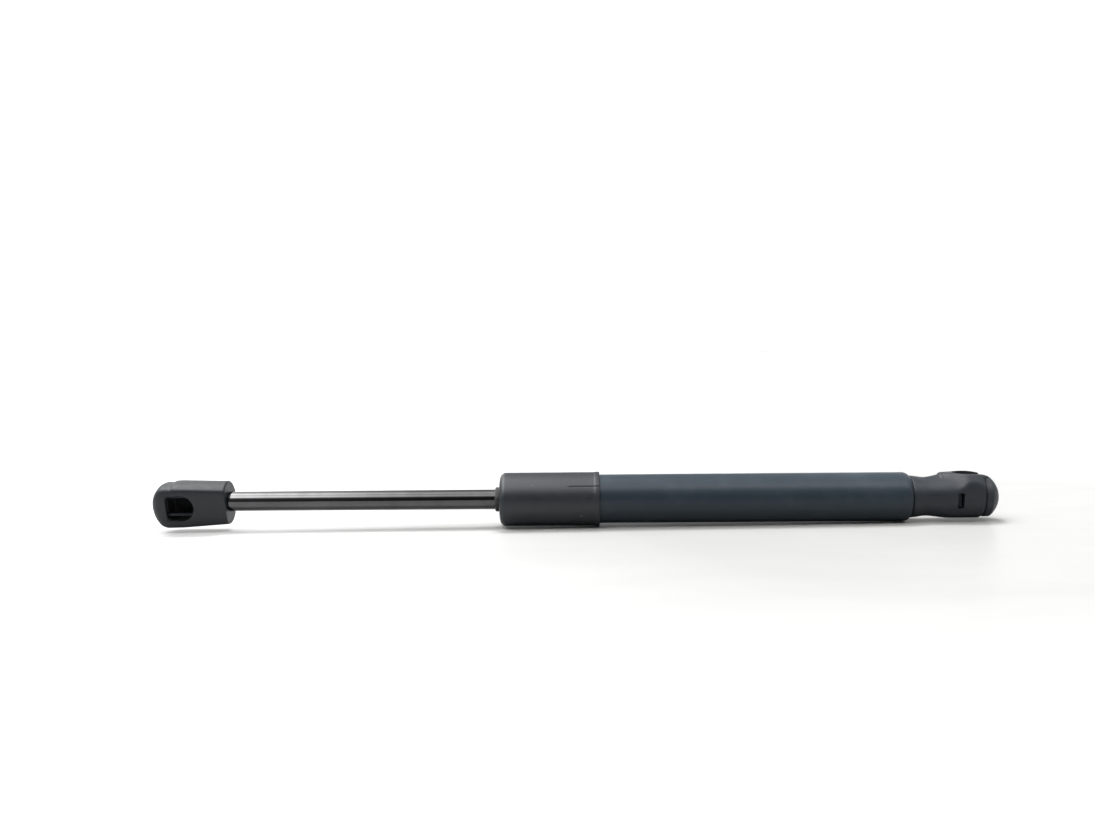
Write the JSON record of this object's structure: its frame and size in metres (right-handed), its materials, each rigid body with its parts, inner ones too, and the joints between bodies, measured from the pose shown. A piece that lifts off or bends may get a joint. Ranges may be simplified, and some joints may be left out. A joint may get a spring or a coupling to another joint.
{
  "type": "gas strut stay",
  "caption": "Compressed-gas strut stay: black tube with plastic sleeve, sliding and turning bright rod, and a clip-retained plastic ball socket at each end.",
  "frame": {"origin": "centre of the ball that the tube-end socket takes, on the strut's axis", "axes": "+X along the strut's axis from the rod end to the tube end, +Z out of the tube-end socket's mouth"},
  "size_m": [0.3395, 0.0218, 0.0218],
  "materials": {
    "tube_paint": "satin black stoved paint, slightly blue",
    "rod_steel": "fine ground and nitrided, dark and nearly mirror-like",
    "socket_plastic": "glass-filled nylon, charcoal, fine moulded grain",
    "sleeve_plastic": "moulded nylon, charcoal, semi-matt",
    "seal_rubber": "matt black nitrile rubber",
    "zinc_steel": "bright zinc plate on turned steel",
    "guide_plastic": "filled nylon",
    "bearing_bronze": "lined bronze bush",
    "piston_alloy": "sintered alloy, matt grey",
    "ring_plastic": "filled PTFE",
    "spring_steel": "tempered spring steel strip"
  },
  "bodies": {
    "tube_assembly": {"pressure_tube": "tube_paint", "base_plug": "zinc_steel", "base_plug_o_ring": "seal_rubber", "guide_retaining_washer": "zinc_steel", "rod_guide": "guide_plastic", "guide_bush": "bearing_bronze", "guide_o_ring": "seal_rubber", "rod_seal": "seal_rubber", "seal_support_washer": "zinc_steel", "protective_sleeve": "sleeve_plastic", "wiper_ring": "seal_rubber", "tube_end_socket": "socket_plastic", "tube_end_clip": "spring_steel", "tube_end_nose_cap": "socket_plastic"},
    "sliding_ring": {"piston_ring": "ring_plastic"},
    "rod_assembly": {"piston_rod": "rod_steel", "piston": "piston_alloy", "labyrinth_disc": "zinc_steel", "piston_washer": "zinc_steel", "rebound_stop": "seal_rubber", "rod_end_socket": "socket_plastic", "rod_end_clip": "spring_steel", "rod_end_nose_cap": "socket_plastic"}
  },
  "joints": [
    {"name": "rod_slide", "type": "slide", "parent": "tube_assembly", "child": "sliding_ring", "axis": [1, 0, 0], "range_m": [0, 0.105], "stiffness_N_per_m": 20, "springref_m": -0.1},
    {"name": "rod_spin", "type": "hinge", "parent": "sliding_ring", "child": "rod_assembly", "pos_m": [0, 0, 0], "axis": [1, 0, 0], "continuous": true}
  ]
}
